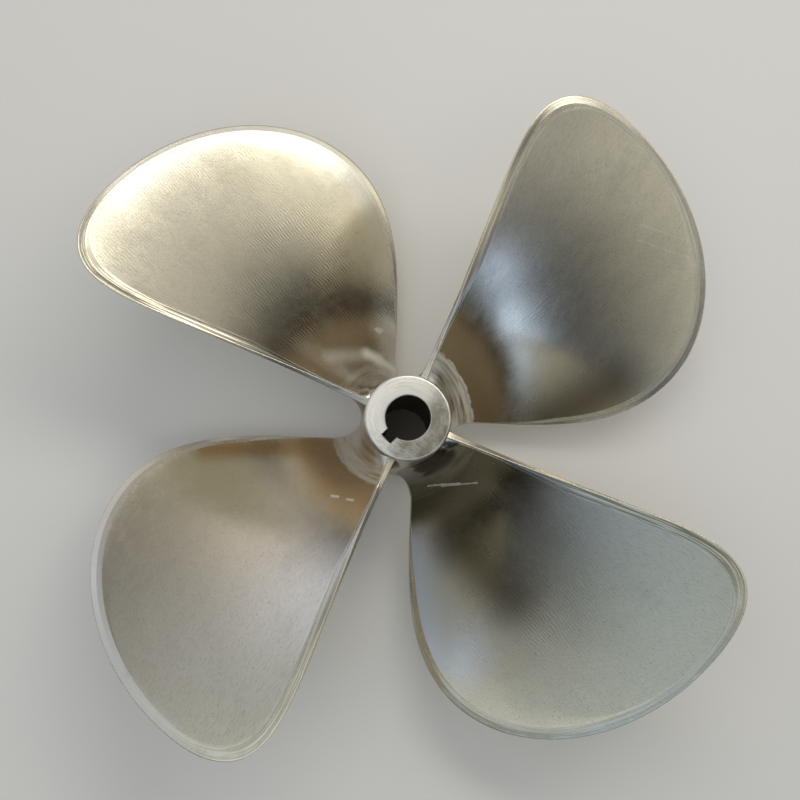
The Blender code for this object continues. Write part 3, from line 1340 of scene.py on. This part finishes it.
    def _lay_root_shade(self) -> None:
        """Lay the painted brown shade near the roots, which fades from the fillets outwards."""
        plan = self.plan
        wide, narrow = self.root_shade_fraying
        distance = self._own("root_distance") + (self.blotch - 0.5) * wide + (self.cloud - 0.5) * narrow
        rim = self._own("edge_distance") + (self.blotch - 0.5) * self.unshaded_rim_fraying
        clean = (1.0 - rim.ramp(*self.unshaded_rim)) * self._leading() * distance.ramp(*self.unshaded_start)
        clean = clean * self._by_blade(plan.blade_flanks)
        inside = self._by_blade(plan.root_shade_reach) - distance
        share = inside.ramp(0.0, self._by_blade(plan.root_shade_fade)) * (1.0 - clean) * plan.tarnish
        brown = self.graph.blend(plan.root_shade_colour, plan.grime, self._by_blade(plan.blade_root_shade_darkness))
        self._cover(brown, share)

    def _side(self, angle: float, border: tuple[float, float]) -> Term:
        """Return how far a place lies on the side of the hub's end that a direction points to.

        Args:
            angle: The direction in degrees.
            border: How far from the axis the side starts and where it is full.

        Returns:
            The share.
        """
        x, y, _ = self.graph.parts(self.place)
        there = x * math.cos(math.radians(angle)) + y * math.sin(math.radians(angle))
        return there.ramp(*border)

    def _fine_scratches(self) -> Term:
        """Return the share of dirt in the fine scratches.

        Returns:
            The share.
        """
        plan = self.plan
        lines = self._stretched(plan.scratch_angle, self.fine_length)
        fine = self._noise(lines, Grain(plan.scratch_spacing)).ramp(*self.fine_border)
        fine = fine * plan.scratch_tone
        if plan.scratch_side is not None:
            side = self._side(plan.scratch_side, self.fine_side)
            fine = fine * (side * (1.0 - self.fine_everywhere) + self.fine_everywhere)
        return fine

    def _bare(self) -> Term:
        """Return the share of bright metal: scratches, worn corners, leading rims that are partly
        polish and partly painted highlight, and painted highlights on the hub's round corners.

        Returns:
            The share.
        """
        plan = self.plan
        lines = self._stretched(plan.scratch_angle + self.scrape_turn, self.scrape_length)
        share = self._noise(lines, self.scrapes).ramp(*self.scrape_border) * self.scrape_tone
        for distance in plan.worn_lines:
            share = share.most(self._worn(self._own("edge_distance") - distance))
        if plan.rim_curl > 0:
            # The bright leading rim is partly polish and partly a painted highlight, of a width given for
            # each blade.
            inside = self._own("edge_distance") + (self.cloud - 0.5) * self.rim_fraying
            width = self._by_blade(plan.blade_rim_highlights)
            polish_and_highlight = (1.0 - inside.ramp(width * self.rim_core, width)) * self._leading()
            share = share.most(polish_and_highlight * plan.rim_polish_and_highlight)
        if plan.edge_stripes > 0:
            crests = self._edge_lines().ramp(*self.stripe_border) * self._leading(*self.stripe_turn)
            share = share.most(crests * plan.edge_stripes)
        # Painted highlights along the hub end's round corners, at the bore's mouth and at the rim.
        for radius in plan.worn_rings:
            x, y, _ = self.graph.parts(self.place)
            share = share.most(self._worn(x.hypot(y) - radius))
        return share

    def _worn(self, aside: Term) -> Term:
        """Return the share of a bright corner line: wear on a blade, a painted highlight on the hub.

        Args:
            aside: How far a place lies beside the corner.

        Returns:
            The share.
        """
        width = self.plan.bright_corner_width
        frayed = aside.abs() + (self.cloud - 0.5) * width
        return self.corner_tone - self.corner_tone * frayed.ramp(width * self.corner_core, width)

    def _fillet_grinding_and_highlight(self) -> Term:
        """Return the share of bright grinding and painted highlight on the fillets.

        Returns:
            The share.
        """
        reach = self.plan.fillet_reach
        distance = self._own("root_distance") + (self.cloud - 0.5) * self.fillet_fraying
        ground = 1.0 - distance.ramp(reach * self.fillet_border, reach)
        streaks = self._noise(self._along_fillet(), self.fillet_streaks).ramp(*self.streak_border)
        return ground * streaks * self._by_blade(self.plan.blade_fillets_and_highlights)

    def _leading(self, start: float = -0.05, end: float = 0.20) -> Term:
        """Return 1 on the leading side of a blade's tip line and 0 along its trailing edge.

        Args:
            start: The sine of the angle beyond the tip line at which it starts to fall.
            end: The sine at which it is 0.

        Returns:
            The share.
        """
        x, y, _ = self.spot
        line = math.radians(Blades.tip_angle)
        aside = (y * math.cos(line) - x * math.sin(line)) / x.hypot(y)
        return 1.0 - aside.ramp(start, end)

    def _edge_lines(self) -> Term:
        """Return a noise that runs in lines along a blade's edge.

        Returns:
            The noise.
        """
        x, y, _ = self.graph.parts(self.place)
        fade = self.edge_line_change
        along = self.graph.vector(self._own("edge_distance"), x * fade, y * fade)
        return self._noise(along, Grain(self.plan.edge_line_spacing))

    def _along_fillet(self) -> bpy.types.NodeSocket:
        """Return coordinates that make lines along a fillet.

        Returns:
            The coordinates.
        """
        _, y, z = self.graph.parts(self.place)
        fade = self.fillet_line_change
        return self.graph.vector(self._own("root_distance"), y * fade, z * fade)

    def _round_axis(self) -> bpy.types.NodeSocket:
        """Return coordinates that make lines round the shaft axis."""
        x, y, z = self.graph.parts(self.place)
        return self.graph.vector(x.hypot(y), z, x * self.turned_line_change)

    def _ripples(self) -> Term:
        """Return the height of the mill's ripples, which start anew in each of its passes.

        Returns:
            The height in metres.
        """
        plan = self.plan
        x, y, _ = self.graph.parts(self._stretched(plan.ripple_angle, 1.0))
        wobble = (self._noise(self.place, self.wobble) - 0.5) * self.wobble_depth
        row = (x + wobble) / plan.pass_width
        step, spread = self.hash_numbers
        start = (((row - row.fraction()) * step).sin() * spread).fraction()
        wave = (((y + wobble) / plan.ripple_spacing + start) * math.tau).sin()
        patch = self._noise(self.place, self.ripple_patches).ramp(*self.ripple_patch_border)
        ahead, aside = self.spot[0] - plan.ripple_centre[0], self.spot[1] - plan.ripple_centre[1]
        near = 1.0 - self.ripple_fading * ahead.hypot(aside).ramp(*self.ripple_range)
        within = (row.fraction() * math.pi).sin()
        strength = patch * near * within * self._by_blade(plan.blade_ripples)
        return wave * strength * (plan.ripple_depth * 0.5)

    def _relief(self) -> bpy.types.NodeSocket:
        """Return the normal with scratches, ripples, hollows and lines.

        Returns:
            The normal output.
        """
        plan = self.plan
        height = (self._noise(self.place, Grain(plan.dent_size, 2.0, 0.35)) - 0.5) * plan.dent_depth
        for turn, weight in self.cross_scratches:
            lines = self._stretched(plan.scratch_angle + turn, self.scratch_length)
            scratch = self._noise(lines, Grain(plan.scratch_spacing, 2.0, 0.7))
            height = height + (scratch - 0.5) * plan.scratch_depth * 2 * weight
        if plan.ripple_depth > 0:
            height = height + self._ripples()
        if plan.edge_lines > 0:
            strength = self._by_blade(plan.blade_lines) * plan.edge_lines
            height = height + (self._edge_lines() - 0.5) * strength
        if plan.fillet_reach > 0:
            height = height + self._fillet_relief()
        if plan.rim_curl > 0:
            rim = (1.0 - self._own("edge_distance") / plan.rim_reach).clamp()
            curl = self._by_blade(plan.blade_curls) * self._leading() * plan.rim_curl
            height = height + rim * rim * curl
        if plan.bevel_ease > 0:
            ease = self._leading() * self._by_blade(plan.blade_eases) * plan.bevel_ease
            height = height - self._own("edge_distance") * ease
        if plan.turned_lines > 0:
            lines = self._noise(self._round_axis(), Grain(plan.turned_line_spacing))
            height = height + (lines - 0.5) * plan.turned_lines
        bump = self.graph.node("ShaderNodeBump")
        return self.graph.wire(bump, Strength=1.0, Distance=1.0, Height=height).outputs[0]

    def _fillet_relief(self) -> Term:
        """Return the height of the lines that the grinder left along the fillets.

        Returns:
            The height in metres.
        """
        reach = self.plan.fillet_reach
        lines = self._noise(self._along_fillet(), self.fillet_lines) - 0.5
        inside = 1.0 - self._own("root_distance").ramp(reach * self.fillet_line_border, reach)
        return lines * inside * self._by_blade(self.plan.blade_fillets_and_highlights) * self.fillet_line_depth


@dataclass
class Studio:
    """The plain floor, the soft light and the camera at the photograph's angle.

    The camera's numbers were fitted to the outlines of the blades. In the frame of that fit
    the camera looks straight down, and the propeller leans.

    Attributes:
        floor_size: The length of the floor's sides in metres.
        floor_drop: How far below the hub it lies.
        floor_colour: Its colour.
        floor_roughness: Its roughness.
        camera_turn: The turn from the picture's directions to the part's, in degrees.
        tilt_x: How far the propeller leans about the picture's level line, in degrees.
        tilt_y: How far it leans about the upright line.
        camera_place: The camera's place in the frame of the fit.
        camera_start: The nearest distance that the camera sees.
        hub_drop: How far the part's origin lies below that of the fit, along the shaft.
        focal_share: The focal length as a share of the picture's width.
        sensor: The width of the camera's sensor in millimetres.
        world_light: The light from where no glow is.
        backdrop: What the camera sees beyond the floor.
    """

    floor_size: float = 6.0
    floor_drop: float = 0.0002
    floor_colour: Colour = (0.90, 0.86, 0.77)
    floor_roughness: float = 0.9
    camera_turn: float = -44.0
    tilt_x: float = -7.08
    tilt_y: float = 1.97
    camera_place: tuple[float, float, float] = (-0.0030, 0.0184, 0.766)
    camera_start: float = 0.01
    hub_drop: float = 0.0452
    focal_share: float = 1125 / 800
    sensor: float = 36.0
    world_light: Colour = (0.05, 0.05, 0.05)
    backdrop: Colour = (0.56, 0.56, 0.54)

    def _camera_frame(self) -> Matrix:
        """Return the matrix from the camera's fitted frame to the part's frame.

        Returns:
            The matrix.
        """
        tilt = Matrix.Rotation(math.radians(self.tilt_x), 4, "X")
        tilt = tilt @ Matrix.Rotation(math.radians(self.tilt_y), 4, "Y")
        turn = Matrix.Rotation(math.radians(self.camera_turn), 4, "Z")
        return turn @ Matrix.Translation((0, 0, self.hub_drop)) @ tilt.inverted()

    def camera(self) -> None:
        """Set the scene's camera where the photograph was taken from."""
        data = bpy.data.cameras.new("camera")
        data.sensor_width = self.sensor
        data.lens = self.sensor * self.focal_share
        data.clip_start = self.camera_start
        obj = bpy.data.objects.new("camera", data)
        obj.matrix_world = self._camera_frame() @ Matrix.Translation(self.camera_place)
        bpy.context.scene.collection.objects.link(obj)
        bpy.context.scene.camera = obj

    def floor(self) -> None:
        """Lay the plain pale floor, a little below the hub so that the two don't coincide."""
        work = bmesh.new()
        bmesh.ops.create_grid(work, x_segments=1, y_segments=1, size=self.floor_size / 2)
        mesh = bpy.data.meshes.new("floor")
        work.to_mesh(mesh)
        work.free()
        material = bpy.data.materials.new("floor")
        material.use_nodes = True
        shader = material.node_tree.nodes["Principled BSDF"]
        shader.inputs["Base Color"].default_value = (*self.floor_colour, 1.0)
        shader.inputs["Roughness"].default_value = self.floor_roughness
        mesh.materials.append(material)
        obj = bpy.data.objects.new("floor", mesh)
        obj.location.z = -self.floor_drop
        bpy.context.scene.collection.objects.link(obj)

    def light(self) -> None:
        """Set the soft panels and glows round the propeller, before a plain backdrop."""
        world = bpy.data.worlds.new("world")
        world.use_nodes = True
        world.node_tree.nodes.clear()
        graph = Graph(world.node_tree)
        around = graph.node("ShaderNodeTexCoord").outputs["Generated"]
        light = graph.vector(*self.world_light)
        for glow in GLOWS:
            light = glow.add(graph, around, light, self.camera_turn)
        seen = Term(graph, graph.node("ShaderNodeLightPath").outputs["Is Camera Ray"])
        light = graph.blend(light, self.backdrop, seen)
        background = graph.wire(graph.node("ShaderNodeBackground"), Color=light)
        graph.feed(graph.node("ShaderNodeOutputWorld").inputs[0], background.outputs[0])
        bpy.context.scene.world = world
        bpy.context.scene.view_settings.view_transform = "Standard"
        for panel in PANELS:
            panel.hang(self.camera_turn)


def direction(azimuth: float, elevation: float) -> Vector:
    """Return the unit vector of a direction.

    Args:
        azimuth: The angle about the shaft axis in degrees.
        elevation: The height above the level plane in degrees.

    Returns:
        The vector.
    """
    around, rise = math.radians(azimuth), math.radians(elevation)
    level = math.cos(rise)
    return Vector((level * math.cos(around), level * math.sin(around), math.sin(rise)))


@dataclass(frozen=True)
class Glow:
    """A soft round glow of the surroundings.

    Attributes:
        azimuth: Its direction in the picture, in degrees counted from the right.
        elevation: Its height in degrees.
        light: Its red, green and blue radiance in the middle.
        width: The angle in degrees at which it has fallen to 0.6 of that.
    """

    azimuth: float
    elevation: float
    light: Colour
    width: float = 14.0

    def add(
        self, graph: Graph, around: bpy.types.NodeSocket, light: bpy.types.NodeSocket, turn: float
    ) -> bpy.types.NodeSocket:
        """Add the glow to the light of the surroundings.

        Args:
            graph: The world's tree.
            around: The direction that is looked at.
            light: The light so far.
            turn: The turn from the picture's directions to the part's, in degrees.

        Returns:
            The light with this glow.
        """
        dot = graph.node("ShaderNodeVectorMath", operation="DOT_PRODUCT")
        graph.feed(dot.inputs[0], around)
        graph.feed(dot.inputs[1], direction(self.azimuth + turn, self.elevation))
        nearness = (Term(graph, dot.outputs["Value"]) - 1.0) / math.radians(self.width) ** 2
        scaled = graph.node("ShaderNodeVectorMath", operation="MULTIPLY_ADD")
        graph.feed(scaled.inputs[0], graph.vector(*self.light))
        strength = graph.math("EXPONENT", nearness)
        graph.feed(scaled.inputs[1], graph.vector(strength, strength, strength))
        graph.feed(scaled.inputs[2], light)
        return scaled.outputs[0]


@dataclass(frozen=True)
class Panel:
    """A soft oblong light that faces the propeller.

    Attributes:
        name: The light's name.
        azimuth: Its direction in the picture, in degrees counted from the right.
        elevation: Its height in degrees.
        width: Its level side in metres.
        height: Its other side.
        power: Its power in watts.
        colour: Its colour.
        distance: Its distance from the hub in metres.
    """

    name: str
    azimuth: float
    elevation: float
    width: float
    height: float
    power: float
    colour: Colour = (1.0, 1.0, 1.0)
    distance: float = 1.6

    def hang(self, turn: float) -> bpy.types.Object:
        """Add the light to the scene.

        Args:
            turn: The turn from the picture's directions to the part's, in degrees.

        Returns:
            The light.
        """
        data = bpy.data.lights.new(self.name, "AREA")
        data.shape = "RECTANGLE"
        data.size = self.width
        data.size_y = self.height
        data.energy = self.power
        data.color = self.colour
        obj = bpy.data.objects.new(self.name, data)
        aim = direction(self.azimuth + turn, self.elevation)
        obj.location = aim * self.distance
        obj.rotation_euler = aim.to_track_quat("Z", "Y").to_euler()
        obj.visible_camera = False
        bpy.context.scene.collection.objects.link(obj)
        return obj


PANELS = (
    Panel("overhead", 120.0, 76.0, 0.8, 0.8, 1.1),
    Panel("key", 68.0, 54.0, 1.5, 0.4, 6.1),
)
GLOWS = (
    Glow(-26.0, 20.0, (0.80, 1.05, 1.70), 5.0),
    Glow(-42.0, 14.0, (1.10, 1.45, 2.20), 5.0),
    Glow(-57.0, 14.0, (1.15, 1.50, 2.30), 5.0),
    Glow(-71.0, 14.0, (0.60, 0.80, 1.30), 5.0),
    Glow(-16.0, 55.0, (0.48, 0.48, 0.46), 7.0),
    Glow(-40.0, 62.0, (0.36, 0.37, 0.36), 9.0),
    Glow(0.0, 36.0, (0.28, 0.29, 0.33)),
    Glow(14.0, 28.0, (1.70, 1.58, 1.30), 7.0),
    Glow(34.0, 39.0, (0.78, 0.77, 0.72), 9.0),
    Glow(68.0, 32.0, (0.62, 0.61, 0.60), 13.0),
    Glow(105.0, 34.0, (0.08, 0.07, 0.05), 10.0),
    Glow(118.0, 16.0, (0.72, 0.67, 0.68), 12.0),
    Glow(146.0, 22.0, (0.58, 0.63, 0.88), 11.0),
    Glow(144.0, 38.0, (0.28, 0.30, 0.34)),
    Glow(180.0, 22.0, (0.45, 0.50, 0.62), 8.0),
    Glow(184.0, 38.0, (0.18, 0.19, 0.20), 10.0),
    Glow(180.0, 62.0, (0.78, 0.84, 0.92)),
    Glow(240.0, 62.0, (0.30, 0.38, 0.45)),
    Glow(252.0, 36.0, (0.26, 0.33, 0.48)),
    Glow(300.0, 62.0, (0.46, 0.46, 0.45), 12.0),
)
# The colour of a painted cool reflection.
COOL_REFLECTION = (0.80, 0.88, 1.00)
MARKS_AND_PAINTED_LIGHT = (
    # Blade 0: a broad patch of painted shade.
    Mark(0, (0.0780, -0.0660), (0.1250, -0.0780), 0.0620, 0.90, 0.0, (0.150, 0.125, 0.085), 0.10),
    # Blade 2: a brown patch of painted shade.
    Mark(2, (0.1080, -0.0840), (0.0480, -0.0300), 0.0220, 0.90, 0.0, (0.420, 0.270, 0.130), 0.05),
    # Blade 3: a painted cool reflection along the leading flank, and a patch of painted shade.
    Mark(3, (0.0620, -0.0540), (0.1200, -0.0960), 0.0340, 0.75, 0.0, COOL_REFLECTION, 0.25),
    Mark(3, (0.0800, -0.0560), (0.1300, -0.0800), 0.0600, 0.55, 0.0, COOL_REFLECTION, 0.15),
    Mark(3, (0.0850, -0.0280), (0.1300, -0.0300), 0.0500, 0.72, 0.0, (0.107, 0.086, 0.047), 0.10),
    # Blade 3: two thin bright scrapes near the root.
    Mark(3, (0.0400, -0.0160), (0.0530, -0.0020), 0.0014, 0.55, 0.35),
    Mark(3, (0.0465, -0.0105), (0.0600, 0.0050), 0.0012, 0.45, 0.35),
    # Blade 1: painted highlights, a small glint and glints along the fillet near the leading edge.
    Mark(1, (0.0605, -0.0370), (0.0620, -0.0350), 0.0035, 0.7),
    Mark(1, (0.0640, 0.0060), (0.0540, -0.0120), 0.0150, 0.32, 0.0),
    Mark(1, (0.0530, -0.0160), (0.0460, -0.0200), 0.0115, 1.0, 0.0),
    Mark(1, (0.0460, -0.0200), (0.0350, -0.0255), 0.0065, 0.9, 0.0),
    # Blade 2: two small painted glints.
    Mark(2, (0.0680, 0.0010), (0.0655, 0.0045), 0.0022, 0.8, 0.1),
    Mark(2, (0.0625, 0.0100), (0.0605, 0.0130), 0.0022, 0.7, 0.1),
    # Blade 0: two faint scratches.
    Mark(0, (0.2020, -0.0130), (0.2255, -0.0510), 0.0007, 0.35),
    Mark(0, (0.1950, -0.0200), (0.2150, -0.0520), 0.0007, 0.30),
)


def blade_finishes() -> dict[Zone, bpy.types.Material]:
    """Return the material of each zone of a blade.

    Returns:
        The materials.
    """
    # The face, the inner bevel and the back carry painted shade near the roots.
    face = BronzeFinish(
        "ground_face",
        roughness=0.22,
        ripple_depth=0.00004,
        rim_curl=0.0012,
        tarnish=0.95,
        fillet_reach=0.021,
        worn_lines=(0.0068,),
        marks=MARKS_AND_PAINTED_LIGHT,
    )
    inner = BronzeFinish(
        "inner_bevel",
        roughness=0.27,
        edge_lines=0.00005,
        edge_stripes=0.7,
        rim_curl=0.0012,
        bevel_ease=0.06,
        tarnish=0.6,
    )
    outer = BronzeFinish(
        "outer_bevel",
        roughness=0.24,
        edge_lines=0.00004,
        edge_stripes=0.9,
        worn_lines=(0.0034, 0.0),
        rim_curl=0.0012,
        bevel_ease=0.08,
    )
    edge = BronzeFinish(
        "edge", colour=(0.77, 0.69, 0.53), roughness=0.22, edge_lines=0.00003, stain_share=0.2
    )
    # The back's pale colour is partly painted light: it brightens the back where the other blades reflect
    # it.
    back = BronzeFinish(
        "back", colour=(0.73, 0.70, 0.60), roughness=0.38, dent_depth=0.0005, tarnish=0.40
    )
    plans = {
        Zone.FACE: face,
        Zone.INNER_BEVEL: inner,
        Zone.OUTER_BEVEL: outer,
        Zone.NOSE: edge,
        Zone.END: edge,
        Zone.BACK: back,
    }
    made = {plan.name: plan.material() for plan in plans.values()}
    return {zone: made[plan.name] for zone, plan in plans.items()}


def hub_finishes() -> dict[str, bpy.types.Material]:
    """Return the materials of the hub.

    Returns:
        The materials of its aft end, its flank and its bore, by those names.
    """
    hub = partial(BronzeFinish, coordinates=Coordinates.OBJECT, dent_depth=0.00005)
    end = hub(
        "hub_end",
        colour=(0.90, 0.85, 0.74),
        stain=(0.32, 0.29, 0.22),
        turned_lines=0.00004,
        turned_tone=0.25,
        scratch_angle=-82.0,
        scratch_spacing=0.0004,
        scratch_depth=0.00002,
        scratch_tone=0.4,
        scratch_side=-134.0,
        # Painted highlights on the round corners at the bore's mouth and at the rim.
        worn_rings=(0.0147, 0.0262),
        # Painted shade on one side of the end.
        dim_side=-79.0,
    )
    flank = hub("hub_flank", roughness=0.32, turned_lines=0.00003)
    # The bore's dark brown colour is painted shade: the inside of the bore gets little light.
    bore = hub("bore", colour=(0.22, 0.17, 0.11), roughness=0.42, turned_lines=0.00005)
    return {"end": end.material(), "flank": flank.material(), "bore": bore.material()}


def main() -> None:
    """Build the looks of the propeller, piece by piece."""
    logging.basicConfig(level=logging.INFO, format="%(name)s: %(message)s")
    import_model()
    studio = Studio()
    studio.camera()
    studio.floor()
    studio.light()
    for piece in (Blades().build(blade_finishes()), Hub().build(hub_finishes())):
        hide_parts("propeller")
        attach(piece, "root")
        LOG.info("%s: %d faces", piece.name, len(piece.data.polygons))


if __name__ == "__main__":
    main()
